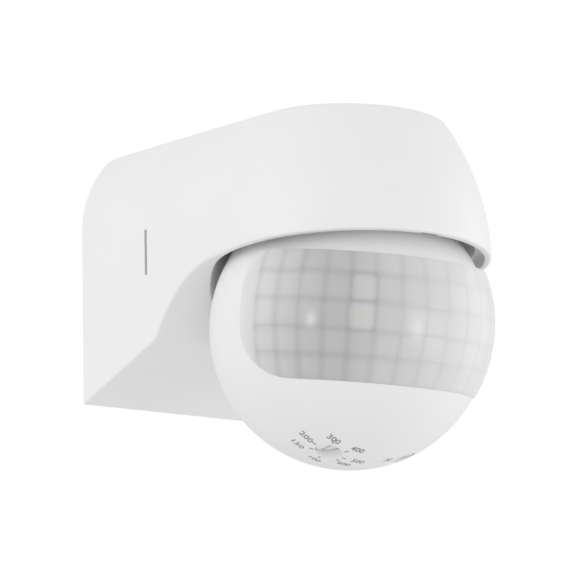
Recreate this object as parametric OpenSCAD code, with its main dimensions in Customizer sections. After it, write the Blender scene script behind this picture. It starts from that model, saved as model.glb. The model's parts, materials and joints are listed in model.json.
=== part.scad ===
// Wall-mounted motion sensor: a ball head that pans and tilts under a hooded wall box.
// Origin: centre of the wall mounting face. The wall is the plane y = 0, the front faces -Y, +Z is up.

/* [Housing] */
// Width across the flanks
body_w = 60; // [58:1:64]
// Height of the face that lies on the wall
face_h = 58; // [57:0.5:60]
// Depth of the wall box, from the wall to the seam with the hood
base_depth = 28; // [27:0.5:28.5]
// Wall thickness of the plastic mouldings
wall = 2; // [1.8:0.1:2.2]
// Radius of the rounded shoulders of the wall box
shoulder_r = 25.6; // [24:0.2:27]
// Radius of the arc along which the hood's front leans back
lean_r = 56; // [52:1:60]
// Fall of the top surface from the wall to the front, per unit of depth
top_fall = 0.085; // [0.075:0.001:0.09]

/* [Head] */
// Diameter of the ball head
ball_d = 60; // [58:1:60]
// Distance from the wall to the ball's centre
ball_out = 63; // [62.5:0.5:65]
// Depth of the ball's centre below the centre of the wall face
ball_drop = 21.8; // [21:0.2:22.4]
// Downward tilt of the head at rest
tilt_rest = 10; // [6:1:12]
// Radius of the lens's outer surface
lens_r = 30.9; // [30.6:0.1:31]
// Radius of the setting knobs
knob_r = 2.7; // [2.4:0.05:2.9]
// Forward lean of the setting knobs' axes from the head's own vertical
knob_lean = 15; // [10:1:18]

/* [Fixings] */
// Distance between the two wall screws
screw_pitch = 40; // [38:1:42]
// Radius of the wall screw holes
screw_hole_r = 2.2; // [2:0.1:2.5]
// Radius of the cable hole in the grommet
cable_r = 3.5; // [3:0.1:4]

/* [Hidden] */
$fn = 64;

half_w = body_w / 2;
half_h = face_h / 2;
ball_r = ball_d / 2;
shell_in = ball_r - wall;

// Housing side view, as (y, z)
shoulder_z = half_h - 18.3;
blend_y = -6;
ridge_y = -32.4;
ridge_z = -half_h + 8.5;
belly_slope = (ridge_z + half_h) / ridge_y;
belly_normal = sqrt(1 + belly_slope * belly_slope);
rim_z = 14 - ball_drop;
recess_r = 29;
recess_y = 6.9 - ball_out;
dome_y = -ball_out - 1.4;
dome_z = 13.8 - ball_drop;
seam_arc_r = 36.8;
seam_arc_z = 3.8;
rim_bore_r = 28.5;
rim_notch = 4.3;
body_end = 100;
lip = 1;
lip_len = 2;
seal_gap = 0.6;
pry_slot_z = [-5.4, 4.8];
pry_slot_w = 1.1;

// Head: seam plane and lens window, in the head's own frame
seam_y = 3.2;
lens_up = 1.4;
lens_t = 1.2;
lens_edge_y = -4.6;
lens_top = 13.9;
lens_low = -12.9;
slot_half = 5.6;
slot_front = -12;
slot_rear = 44;
lip_ring_out = 27;
lip_ring_in = 25.8;
post_r = 2.6;
head_posts = [[18, 17], [-18, 17], [17.5, -17.5], [-17.5, -17.5]];

// Neck, heights above the ball's centre
neck_bore_r = 3.4;
stem_r = 5;
bearing_r = 6;
running = 0.05;
flange_r = 9.2;
flange_z = [30.5, 32.2];
roof_z = 33;
tower_top = 38;
neck_top = 40;
knuckle_r = 4.5;
knuckle_half = 7;
axle_r = 1.5;
axle_half = 19;
pivot_boss_r = 3;

// Sensor board, in the head's own frame
board_t = 1.6;
board_y = -5.6;
board_post_x = 15;

// Setting knobs
knob_sink = 1.2;
knob_gap = 0.2;
knob_x = 9.2;
knob_fwd = 9.3;
knob_depth = sqrt(ball_r * ball_r - knob_x * knob_x - knob_fwd * knob_fwd);

// Wall box contents
back_t = 2.5;
power_y = -5.4;
power_posts = [[18.5, 3.5], [-18.5, 3.5], [18.5, 19.5], [-18.5, 19.5]];
poles = [-8, 0, 8];
grommet_z = -19;
wall_screw_z = -8;

white = "#f2f2f0";
core_offsets = [-1.3, 0, 1.3];

module at_ball() {
    translate([0, -ball_out, -ball_drop]) children();
}

// The head's own frame: its forward direction is -Y before it is tilted down
module in_head() {
    at_ball() rotate([tilt_rest, 0, 0]) children();
}

// Stands a shape drawn as (x, z) up and runs it from y = from back to y = to
module along_y(from, to) {
    translate([0, from, 0]) rotate([90, 0, 0]) linear_extrude(from - to) children();
}

// Runs a shape drawn as (y, z) along X, centred
module along_x(width) {
    rotate([90, 0, 90]) linear_extrude(width, center = true) children();
}

// A rod along -Y
module rod_y(r, from, to) {
    translate([0, from, 0]) rotate([90, 0, 0]) cylinder(r = r, h = from - to);
}

// Round wire through a list of points
module wire(points, r) {
    for (i = [0 : len(points) - 2]) {
        run = points[i + 1] - points[i];
        span = norm(run);
        turn = atan2(run[1], run[0]);
        fall = acos(run[2] / span);
        translate(points[i]) rotate([0, fall, turn]) cylinder(r = r, h = span, $fn = 24);
    }
    for (i = [1 : len(points) - 2]) translate(points[i]) sphere(r = r * 1.12, $fn = 24);
}

// Front view of a round-shouldered box, shrunk by inset; its shoulders are arcs of this radius
// that start at this height
module box_outline(inset, shoulder, start) {
    x = half_w - inset;
    r = shoulder - inset;
    low = -half_h - 5;
    arc = [for (a = [0 : 5 : 55]) [x - r + r * cos(a), start + r * sin(a)]];
    back = [for (i = [len(arc) - 1 : -1 : 0]) [-arc[i][0], arc[i][1]]];
    polygon(concat([[-x, low], [x, low]], arc, back));
}

// Side view of the housing, shrunk by inset
module side_view(inset = 0) {
    far = -100;
    near = 1;
    turn = -50;
    floor_in = inset * belly_normal - half_h;
    roof_in = half_h - inset;
    difference() {
        polygon([
            [near, roof_in + top_fall * near],
            [far, roof_in + top_fall * far],
            [far, floor_in + belly_slope * turn],
            [turn, floor_in + belly_slope * turn],
            [near, floor_in + belly_slope * near]
        ]);
        translate([recess_y, rim_z - recess_r]) circle(r = recess_r + inset, $fn = 128);
        translate([far - 1, rim_z - recess_r]) square([recess_y - far + 1, recess_r + inset]);
    }
}

// Solid of revolution at the front of the hood, shrunk by inset
module dome(inset = 0) {
    tip = half_h + 2 - dome_z;
    steps = 12;
    arc = [for (i = [0 : steps]) let (z = tip * i / steps)
        [half_w - lean_r + sqrt(pow(lean_r - inset, 2) - z * z), dome_z + z]];
    translate([0, dome_y, 0])
        rotate_extrude($fn = 96) polygon(concat([[0, -half_h], [half_w - inset, -half_h]], arc,
            [[0, dome_z + tip]]));
}

// Housing form between two depths: the outline at the wall blended into the front dome
module housing_form(inset, from, to) {
    intersection() {
        hull() {
            along_y(1, blend_y) box_outline(inset, shoulder_r, shoulder_z);
            dome(inset);
        }
        along_x(body_w + 10) side_view(inset);
        translate([-body_w, to, -face_h]) cube([2 * body_w, from - to, 2 * face_h]);
    }
}

// Straight form of the housing's outline at the wall
module wall_form(inset, from, to) {
    intersection() {
        along_y(from, to) box_outline(inset, shoulder_r, shoulder_z);
        along_x(body_w + 10) side_view(inset);
    }
}

// Straight form of the housing's outline at the seam
module seam_form(inset, from, to) {
    intersection() {
        along_y(from, to) box_outline(inset, seam_arc_r, seam_arc_z);
        along_x(body_w + 10) side_view(inset);
    }
}

module wall_base() {
    color(white) difference() {
        union() {
            difference() {
                housing_form(0, 0, -base_depth);
                housing_form(wall, -back_t, -base_depth - 1);
            }
            // lip that plugs into the hood
            difference() {
                seam_form(lip + running, -base_depth + 2, -base_depth - lip_len);
                seam_form(wall, -base_depth + 3, -base_depth - lip_len - 1);
            }
            // snap ridges on the lip
            for (s = [-1, 1]) translate([s * (half_w - lip - 0.1), -base_depth - 1.3, -13])
                cube([1, 0.6, 6], center = true);
            // posts for the power board
            for (p = power_posts) translate([p[0], 0, p[1]]) rod_y(2.2, -1.5, power_y);
            // pads round the wall screws
            for (s = [-1, 1]) translate([s * screw_pitch / 2, 0, wall_screw_z])
                rod_y(4.5, -1.5, -back_t - 1);
        }
        // groove for the wall gasket
        difference() {
            wall_form(1.2, 1, -1);
            wall_form(2.6, 2, -2);
        }
        for (s = [-1, 1]) translate([s * screw_pitch / 2, 0, wall_screw_z])
            rod_y(screw_hole_r, 1, -10);
        translate([0, 0, grommet_z]) {
            rod_y(5.5, 1, -5);
            rod_y(6.8, 1, -1);
        }
        for (p = power_posts) translate([p[0], 0, p[1]]) rod_y(0.9, -3, -8);
    }
}

module wall_gasket() {
    color("#55585a") difference() {
        wall_form(1.25, 0, -0.95);
        wall_form(2.55, 1, -2);
    }
}

module cable_grommet() {
    color("#3a3c3e") translate([0, 0, grommet_z]) difference() {
        union() {
            rod_y(6.75, 0, -0.95);
            rod_y(5.45, -0.9, -back_t - 0.1);
            rod_y(6.7, -back_t - 0.05, -back_t - 1);
        }
        rod_y(cable_r, 1, -5);
    }
}

// Positions children at each pole of the terminal block
module each_pole() {
    for (x = poles) translate([x, 0, 0]) children();
}

module terminal_block() {
    color("#e4e2da") difference() {
        translate([-13, -14.5, -12]) cube([26, 12, 8.5]);
        each_pole() {
            translate([-2.7, -11.6, -10.6]) cube([5.4, 6.7, 5.2]);
            translate([0, 0, -8]) rod_y(2.2, -11, -15);
            translate([0, -7.2, -13]) cylinder(r = 1.9, h = 4);
            translate([0, -7.2, -6]) cylinder(r = 1.2, h = 3);
        }
    }
}

module terminal_clamps() {
    color("#c9a24a") each_pole() difference() {
        translate([-2.6, -11.5, -10.5]) cube([5.2, 6.5, 5]);
        translate([0, -7.2, -11]) cylinder(r = 1.7, h = 6);
        translate([0, 0, -8]) rod_y(1.35, -8, -12);
    }
}

module terminal_screws() {
    color("#b9bcc0") each_pole() translate([0, 0, -8]) difference() {
        union() {
            rod_y(1.3, -9, -12.9);
            rod_y(2, -12.8, -14.2);
        }
        translate([0, -14.2, 0]) cube([5, 1.2, 0.6], center = true);
    }
}

module power_board() {
    color("#2f6b43") difference() {
        translate([-21, power_y - board_t, 1]) cube([42, board_t, 21]);
        for (p = power_posts) translate([p[0], 0, p[1]]) rod_y(1.2, -4, -10);
    }
}

module board_screws() {
    color("#b9bcc0") for (p = power_posts) translate([p[0], 0, p[1]]) difference() {
        union() {
            rod_y(0.88, -3.2, power_y - board_t - 0.1);
            rod_y(2, power_y - board_t, power_y - board_t - 1.2);
        }
        translate([0, power_y - board_t - 1.2, 0]) cube([2.6, 1, 0.5], center = true);
        translate([0, power_y - board_t - 1.2, 0]) cube([0.5, 1, 2.6], center = true);
    }
}

module relay() {
    color("#2a4f8a") translate([-14.5, -22.5, 4]) cube([18.5, 15.5, 15.3]);
}

module film_capacitor() {
    color("#d9c23c") translate([6, -19, 3]) cube([6, 12, 18]);
}

module storage_capacitor() {
    color("#2b2f3a") translate([17, 0, 11.5]) {
        rod_y(4, -7, -18);
        rod_y(3.7, -17.9, -19);
    }
}

module fuse() {
    color("#d8d6cf") translate([-17.6, -8.8, 6.5]) cylinder(r = 1.6, h = 9.5);
}

module lead_plug() {
    color("#f0efe9") difference() {
        translate([-14, -12, 19.7]) cube([8, 5, 2.2]);
        translate([-10, 0, 20.8]) for (x = core_offsets) translate([x, 0, 0])
            rod_y(0.6, -10, -13, $fn = 24);
    }
}

module supply_leads() {
    color("#8b4a34") for (x = [-8, 8])
        wire([[x, -7.2, -5.6], [x, -7.2, -1.5], [x, -8.2, 0], [x + 1, -7.6, 1.6]], 0.7);
}

module hood() {
    color(white) difference() {
        union() {
            difference() {
                housing_form(0, -base_depth, -body_end);
                difference() {
                    housing_form(wall, -base_depth - 1, -body_end);
                    at_ball() sphere(r = ball_r + 2 * wall, $fn = 128);
                }
            }
            // tower that carries the neck
            at_ball() translate([0, 0, 31]) cylinder(r = 10, h = tower_top - 31);
        }
        // open back, stepped for the base's lip and the seal
        seam_form(wall, -base_depth + 1, -base_depth - 1.5);
        difference() {
            seam_form(lip, -base_depth + 1, -base_depth - lip_len - seal_gap);
            seam_form(wall + 1, -base_depth + 2, -base_depth - 6);
        }
        // ball socket
        at_ball() {
            sphere(r = ball_r + wall, $fn = 128);
            translate([0, 0, 20]) cylinder(r = flange_r + 0.4, h = roof_z - 20);
            cylinder(r = bearing_r + running, h = tower_top + 5);
        }
        translate([0, dome_y, rim_z - 1]) cylinder(r = rim_bore_r, h = 3.6);
        // notch in the front of the rim
        translate([0, dome_y - rim_bore_r, rim_z]) cube([rim_notch, 1.5, 3], center = true);
        // pry slots and snap grooves at the seam
        for (s = [-1, 1]) {
            translate([s * half_w, -base_depth, (pry_slot_z[0] + pry_slot_z[1]) / 2])
                cube([2.2, 2 * pry_slot_w, pry_slot_z[1] - pry_slot_z[0]], center = true);
            translate([s * (half_w - lip), -base_depth - 1.3, -13]) cube([1.4, 0.9, 7], center = true);
        }
    }
}

module hood_seal() {
    color("#55585a") difference() {
        seam_form(lip + 0.1, -base_depth - lip_len, -base_depth - lip_len - seal_gap);
        seam_form(wall, -base_depth, -base_depth - 5);
    }
}

module swivel_neck() {
    color("#e6e6e3") at_ball() difference() {
        union() {
            translate([0, 0, flange_z[0]]) cylinder(r = bearing_r, h = neck_top - flange_z[0]);
            translate([0, 0, flange_z[0]]) cylinder(r = flange_r, h = flange_z[1] - flange_z[0]);
            translate([0, 0, 1]) cylinder(r = stem_r, h = flange_z[0]);
            rotate([0, 90, 0]) cylinder(r = knuckle_r, h = 2 * knuckle_half, center = true);
        }
        translate([0, 0, 7]) cylinder(r = neck_bore_r, h = 40);
        translate([-2.4, -8, 7]) cube([4.8, 8, 7]);
        rotate([0, 90, 0]) cylinder(r = axle_r + running, h = 20, center = true);
        // groove for the retaining clip
        translate([0, 0, tower_top + 0.25]) difference() {
            cylinder(r = bearing_r + 1, h = 1);
            translate([0, 0, -1]) cylinder(r = bearing_r - 0.8, h = 3);
        }
    }
}

module neck_washer() {
    color("#c7cacc") at_ball() translate([0, 0, flange_z[1] + 0.02]) difference() {
        cylinder(r = flange_r - 0.2, h = roof_z - flange_z[1] - 0.12);
        translate([0, 0, -1]) cylinder(r = bearing_r + 0.2, h = 3);
    }
}

module neck_clip() {
    color("#c7cacc") at_ball() translate([0, 0, tower_top + 0.3]) difference() {
        cylinder(r = bearing_r + 2, h = 0.9);
        translate([0, 0, -1]) cylinder(r = bearing_r - 0.75, h = 3);
        translate([-2.5, 0, -1]) cube([5, 12, 3]);
    }
}

module tilt_axle() {
    color("#b9bcc0") at_ball() rotate([0, 90, 0]) cylinder(r = axle_r, h = 2 * axle_half, center = true);
}

// Lens window seen from the side, as (y, z): square at the top, with a large lower rear corner
module lens_side(inset = 0) {
    rear = lens_edge_y - inset;
    top = lens_top - inset;
    low = lens_low + inset;
    low_r = 9.5 - inset;
    top_r = 4.4 - inset;
    front = -36;
    difference() {
        translate([front, low]) square([rear - front, top - low]);
        translate([rear - low_r, low - 1]) square([low_r + 1, low_r + 1]);
        translate([rear - top_r, top - top_r]) square([top_r + 1, top_r + 1]);
    }
    translate([rear - low_r, low + low_r]) circle(r = low_r);
    translate([rear - top_r, top - top_r]) circle(r = top_r);
}

module lens_prism(inset = 0) {
    along_x(70) lens_side(inset);
}

// Fan through which the neck enters the head
module neck_slot() {
    reach = 45;
    along_x(2 * slot_half) polygon(concat([[0, 0]],
        [for (a = [slot_front : (slot_rear - slot_front) / 4 : slot_rear])
            [reach * sin(a), reach * cos(a)]]));
}

// Puts children in the frame of a setting knob; its axis points out of the head along -Z
module at_knob(side) {
    in_head() translate([side * knob_x, -knob_fwd, -knob_depth]) rotate([-knob_lean, 0, 0]) children();
}

module head_rear_shell() {
    color(white) in_head() difference() {
        union() {
            difference() {
                sphere(r = ball_r, $fn = 128);
                sphere(r = shell_in, $fn = 128);
            }
            intersection() {
                sphere(r = ball_r - 0.5, $fn = 128);
                for (p = head_posts) translate([p[0], 30, p[1]]) rod_y(post_r + 0.6, 0, -23.7);
            }
        }
        translate([-40, seam_y - 80, -40]) cube([80, 80, 80]);
        neck_slot();
        for (p = head_posts) translate([p[0], 0, p[1]]) {
            rod_y(1.5, 40, 0);
            rod_y(post_r - 0.2, 40, 10.5);
        }
    }
}

module head_front_shell() {
    color(white) difference() {
        in_head() difference() {
            union() {
                difference() {
                    sphere(r = ball_r, $fn = 128);
                    sphere(r = shell_in, $fn = 128);
                    translate([-40, seam_y, -40]) cube([80, 80, 80]);
                    lens_prism(0);
                }
                // spigot ring that enters the rear shell
                difference() {
                    rod_y(lip_ring_out, seam_y + 3, 0);
                    rod_y(lip_ring_in, seam_y + 4, -1);
                }
                // web that joins the ring to the shell
                difference() {
                    rod_y(shell_in + 0.2, 1, -1);
                    rod_y(lip_ring_in, 2, -2);
                }
                // pivot bosses and the posts of the sensor board
                for (s = [-1, 1]) {
                    translate([s * (knuckle_half + 0.3), 0, 0]) rotate([0, s * 90, 0])
                        cylinder(r = pivot_boss_r, h = shell_in + 0.6 - knuckle_half - 0.3);
                    translate([s * board_post_x, 0, 0]) rod_y(2, 0, board_y);
                }
                intersection() {
                    rod_y(lip_ring_out - 0.1, 20, -20);
                    for (p = head_posts) translate([p[0], 0, p[1]])
                        rod_y(post_r, seam_y + 2.5, p[1] > 0 ? -1.5 : -6);
                }
            }
            neck_slot();
            rotate([0, 90, 0]) cylinder(r = axle_r + 0.01, h = 2 * axle_half, center = true);
            for (s = [-1, 1]) translate([s * board_post_x, 0, 0]) rod_y(0.8, -1.8, -8);
            for (p = head_posts) translate([p[0], 0, p[1]]) rod_y(1.05, 10, 0);
        }
        for (s = [-1, 1]) at_knob(s) translate([0, 0, -3]) cylinder(r = knob_r + knob_gap, h = 12);
    }
}

module head_seal() {
    color("#55585a") in_head() difference() {
        rod_y(lip_ring_out + 0.6, seam_y + 1.05, seam_y + 0.05);
        rod_y(lip_ring_out + 0.02, seam_y + 2, seam_y - 1);
        neck_slot();
    }
}

module head_screws() {
    color("#b9bcc0") in_head() for (p = head_posts) translate([p[0], 0, p[1]]) difference() {
        union() {
            rod_y(1, 11, 1);
            rod_y(2.1, 12.1, 10.55);
        }
        translate([0, 12.1, 0]) cube([3, 1.2, 0.6], center = true);
        translate([0, 12.1, 0]) cube([0.6, 1.2, 3], center = true);
    }
}

module fresnel_lens() {
    color("#ccd0d4", 0.9) in_head() {
        intersection() {
            lens_prism(0.05);
            translate([0, 0, lens_up]) difference() {
                sphere(r = lens_r, $fn = 128);
                sphere(r = lens_r - lens_t, $fn = 128);
            }
        }
        // skirt that goes through the window
        intersection() {
            difference() {
                lens_prism(0.05);
                lens_prism(1.25);
            }
            difference() {
                sphere(r = ball_r - 0.4, $fn = 128);
                sphere(r = shell_in - 0.1, $fn = 128);
            }
        }
        // flange that the frame clamps
        intersection() {
            difference() {
                lens_prism(-1.6);
                lens_prism(1.25);
            }
            difference() {
                sphere(r = shell_in - 0.05, $fn = 128);
                sphere(r = shell_in - 0.8, $fn = 128);
            }
        }
    }
}

module lens_frame() {
    color("#3a3c3e") in_head() intersection() {
        difference() {
            lens_prism(-1.6);
            lens_prism(1.4);
        }
        difference() {
            sphere(r = shell_in - 0.85, $fn = 128);
            sphere(r = shell_in - 2.1, $fn = 128);
        }
    }
}

module sensor_board() {
    color("#2f6b43") in_head() difference() {
        union() {
            rod_y(21, board_y, board_y - board_t);
            translate([-5.4, board_y - board_t, -22]) cube([10.8, board_t, 8]);
        }
        for (s = [-1, 1]) translate([s * board_post_x, 0, 0]) rod_y(1.1, 0, -10);
        translate([0, 0, 10.5]) rod_y(2.2, 0, -10);
        // notches for the trimmers
        for (s = [-1, 1]) translate([s * knob_x, board_y, -24]) cube([7, 6, 13.6], center = true);
    }
}

module sensor_board_screws() {
    color("#b9bcc0") in_head() for (s = [-1, 1]) translate([s * board_post_x, 0, 0]) difference() {
        union() {
            rod_y(0.78, -2, board_y - board_t - 0.1);
            rod_y(1.9, board_y - board_t, board_y - board_t - 1.1);
        }
        translate([0, board_y - board_t - 1.1, 0]) cube([2.6, 0.9, 0.5], center = true);
        translate([0, board_y - board_t - 1.1, 0]) cube([0.5, 0.9, 2.6], center = true);
    }
}

module pyro_sensor() {
    color("#c7cacc") in_head() difference() {
        union() {
            rod_y(4.6, board_y - board_t, board_y - board_t - 0.6);
            rod_y(4.1, board_y - board_t - 0.5, board_y - board_t - 4.2);
        }
        translate([0, board_y - board_t - 4.2, 0]) cube([4.1, 1, 3.1], center = true);
    }
}

module pyro_window() {
    color("#3d4046") in_head() translate([0, board_y - board_t - 3.95, 0]) cube([4, 0.4, 3], center = true);
}

module light_sensor() {
    color("#c88a4a") in_head() translate([9, 0, 8]) {
        rod_y(2.5, board_y - board_t, board_y - board_t - 2);
    }
}

module signal_chip() {
    color("#26282b") in_head() translate([-9.5, board_y - board_t - 1.6, -12.5]) cube([6, 1.6, 8]);
}

module trimmer() {
    color("#4a7fae") difference() {
        translate([-3, -2.2, 4.6]) cube([6, 4.4, 4]);
        cylinder(r = 1.25, h = 20);
    }
}

module time_trimmer() {
    at_knob(-1) trimmer();
}

module lux_trimmer() {
    at_knob(1) trimmer();
}

// Knob: a slotted disc sunk into the ball, on a thin shaft
module knob() {
    color(white) difference() {
        union() {
            translate([0, 0, knob_sink]) cylinder(r = knob_r, h = 2.2);
            translate([0, 0, knob_sink + 2]) cylinder(r = 1.2, h = 5);
        }
        translate([0, 0, knob_sink]) cube([0.9, 2 * knob_r + 1, 1.6], center = true);
    }
}

module time_knob() {
    at_knob(-1) knob();
}

module lux_knob() {
    at_knob(1) knob();
}

module base_lead() {
    color("#b03a2e") for (x = core_offsets)
        wire([[-10 + x, -10.5, 20.8], [-10 + x, -24, 20.8], [x, -54, 21.2], [x, -61.5, 20.6],
            [x, -ball_out, 19.4], [x, -ball_out, neck_top - ball_drop + 0.3]], 0.55);
}

module neck_lead() {
    color("#b03a2e") at_ball() for (x = core_offsets)
        wire([[x, 0, neck_top + 0.25], [x, 0, 13], [x, -1.6, 10.8], [x, -4, 9.6]], 0.55);
}

module head_lead() {
    color("#b03a2e") in_head() for (x = core_offsets)
        wire([[x, -5.3, 10.5], [x, -8.2, 10.5], [x, -9.2, 12], [x, -8.6, 14], [x, -7.9, 14.7]], 0.55);
}

wall_base();
wall_gasket();
cable_grommet();
terminal_block();
terminal_clamps();
terminal_screws();
power_board();
board_screws();
relay();
film_capacitor();
storage_capacitor();
fuse();
lead_plug();
supply_leads();
hood();
hood_seal();
swivel_neck();
neck_washer();
neck_clip();
tilt_axle();
head_rear_shell();
head_front_shell();
head_seal();
head_screws();
fresnel_lens();
lens_frame();
sensor_board();
sensor_board_screws();
pyro_sensor();
pyro_window();
light_sensor();
signal_chip();
time_trimmer();
lux_trimmer();
time_knob();
lux_knob();
base_lead();
neck_lead();
head_lead();
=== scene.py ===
"""Wall-mounted motion sensor: a ball head that pans and tilts under a hooded wall box.

The pieces that show are built here in millimetres, in the frame of the CAD model, and scaled
to metres when they are placed. The wall is the plane y = 0, the front faces -Y, +Z is up.
"""

import json
import math

import bmesh
import bpy
from mathutils import Matrix, Vector


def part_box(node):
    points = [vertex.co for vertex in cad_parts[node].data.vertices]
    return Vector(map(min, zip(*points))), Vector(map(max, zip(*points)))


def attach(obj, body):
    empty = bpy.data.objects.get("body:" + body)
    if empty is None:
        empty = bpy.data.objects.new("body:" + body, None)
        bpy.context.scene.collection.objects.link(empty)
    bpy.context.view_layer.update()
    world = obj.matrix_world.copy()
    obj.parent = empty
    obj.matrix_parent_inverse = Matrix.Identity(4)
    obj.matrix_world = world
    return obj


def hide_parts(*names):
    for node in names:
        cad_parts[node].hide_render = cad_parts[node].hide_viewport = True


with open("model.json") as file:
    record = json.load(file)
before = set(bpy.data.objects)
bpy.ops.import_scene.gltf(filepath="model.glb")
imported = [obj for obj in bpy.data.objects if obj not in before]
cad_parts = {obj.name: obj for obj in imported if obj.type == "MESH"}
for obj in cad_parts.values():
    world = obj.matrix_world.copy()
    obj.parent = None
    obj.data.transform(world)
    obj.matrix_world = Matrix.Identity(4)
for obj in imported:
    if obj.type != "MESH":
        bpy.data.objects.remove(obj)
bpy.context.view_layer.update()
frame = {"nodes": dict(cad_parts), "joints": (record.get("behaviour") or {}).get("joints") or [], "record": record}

MM = 0.001
JOINTS = {j["name"]: j for j in frame["joints"]}


def millimetres(vector):
    return Vector(vector) / MM


# Sizes that come from the frame
BALL = millimetres(JOINTS["head_tilt"]["pos_m"])
BALL_R = BALL.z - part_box("head_front_shell")[0].z / MM
HALF_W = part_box("hood")[1].x / MM
SEAM_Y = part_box("hood")[1].y / MM
FACE_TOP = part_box("wall_base")[1].z / MM
FACE_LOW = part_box("wall_base")[0].z / MM

# Housing outline
WALL = 2.0
SHOULDER_R = 25.6
SHOULDER_X = HALF_W - SHOULDER_R
SHOULDER_Z = FACE_TOP - 18.3
BLEND_Y = -6.0
LEAN_R = 56.0
DOME_Y = BALL.y - 1.4
DOME_Z = BALL.z + 13.8
TOP_FALL = 0.085
BELLY_SLOPE = 8.5 / 32.4
RECESS_R = 29.0
RECESS_Y = BALL.y + 6.9
RIM_Z = BALL.z + 14.0
RIM_BORE_R = 28.5
RIM_BORE_DEEP = 2.6
SOCKET_R = BALL_R + 2.0
NECK_RING_R = 9.6
TOWER_R = 10.0
TOWER_ROOF = 33.0
TOWER_TOP = 38.0
BEARING_R = 6.0
RIM_NOTCH = 4.3
PRY_SLOT = (-5.4, 4.8)
PRY_SLOT_W = 1.1
BACK_T = 2.5
POWER_Y = -5.4
BOARD_POST_SIZES = (2.2, 0.9)
WALL_PAD_SIZES = (4.5, 2.2)
GROMMET_SIZES = (5.5, 6.8)
WALL_SCREW_X = 20.0
WALL_SCREW_Z = -8.0
BOARD_POSTS = [(x, z) for x in (-18.5, 18.5) for z in (3.5, 19.5)]
GROMMET_Z = -19.0
LIP_IN = 1.05
LIP_LEN = 2.0
SEAM_EASE = 0.12
RIDGE_EASE = 1.0
RECESS_EASE = 1.4
EDGE_EASE = 0.6
RIM_EASE = 0.2
BACK_EASE = 0.5

# Head, in its own frame: forward is -Y, and it is tilted down by TILT
TILT = math.radians(10)
HEAD_SEAM = 3.2
LENS_R = 30.9
LENS_UP = 1.4
LENS_EDGE_Y = -4.6
LENS_TOP = 13.9
LENS_LOW = -12.9
LENS_LOW_R = 9.5
LENS_TOP_R = 4.4
BOSS_R = 3.0
BOSS_ENDS = (7.3, 28.6)
BOARD_POST_R = 2.0
BOARD_POST_X = 15
SHELL_POST_R = 2.6
WEB_R = 28.2
SPIGOT_LEN = 6.2
SLOT_START = -12
SLOT_STEP = 14
SLOT_HALF = 5.6
AXLE_HOLE_R = 1.51
SPIGOT_R = 27.0
SPIGOT_BORE_R = 25.8
PILOT_R = 1.05
SCREW_HOLE_R = 1.5
SCREW_SEAT_R = 2.4
KNOB_R = 2.7
KNOB_GAP = 0.2
KNOB_SINK = 1.2
KNOB_X = 9.2
KNOB_FWD = 9.3
KNOB_LEAN = math.radians(15)
KNOB_DEEP = math.sqrt(BALL_R ** 2 - KNOB_X ** 2 - KNOB_FWD ** 2)

HEAD = Matrix.Translation(BALL) @ Matrix.Rotation(TILT, 4, "X")


def knob_frame(side):
    """Frame of a setting knob: its axis points out of the head along -Z."""
    place = Matrix.Translation((side * KNOB_X, -KNOB_FWD, -KNOB_DEEP))
    return HEAD @ place @ Matrix.Rotation(-KNOB_LEAN, 4, "X")


# ---------------------------------------------------------------- camera, floor and light

CAMERA_AZIMUTH = math.radians(33.01)
CAMERA_RISE = math.radians(14.0)
CAMERA_ROLL = math.radians(-1.42)
CAMERA_AIM = BALL + Vector((-12.4, 5.3, 9.3))
CAMERA_AWAY = 700.0


def build_camera():
    """Below the object and to its left, looking up at it."""
    level = math.cos(CAMERA_RISE)
    forward = Vector((math.sin(CAMERA_AZIMUTH) * level, math.cos(CAMERA_AZIMUTH) * level,
                      math.sin(CAMERA_RISE)))
    right = Vector((math.cos(CAMERA_AZIMUTH), -math.sin(CAMERA_AZIMUTH), 0))
    up = right.cross(forward)
    rolled_right = right * math.cos(CAMERA_ROLL) + up * math.sin(CAMERA_ROLL)
    rolled_up = up * math.cos(CAMERA_ROLL) - right * math.sin(CAMERA_ROLL)
    data = bpy.data.cameras.new("camera")
    data.sensor_width = 36.0
    data.lens = 205.96
    camera = bpy.data.objects.new("camera", data)
    turn = Matrix((rolled_right, rolled_up, -forward)).transposed().to_4x4()
    camera.matrix_world = Matrix.Translation((CAMERA_AIM - forward * CAMERA_AWAY) * MM) @ turn
    bpy.context.scene.collection.objects.link(camera)
    bpy.context.scene.camera = camera


def area_light(name, place, aim, size, power):
    data = bpy.data.lights.new(name, "AREA")
    data.shape = "SQUARE"
    data.size = size
    data.energy = power
    light = bpy.data.objects.new(name, data)
    light.location = place
    light.rotation_euler = (Vector(aim) - Vector(place)).to_track_quat("-Z", "Y").to_euler()
    bpy.context.scene.collection.objects.link(light)


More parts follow.
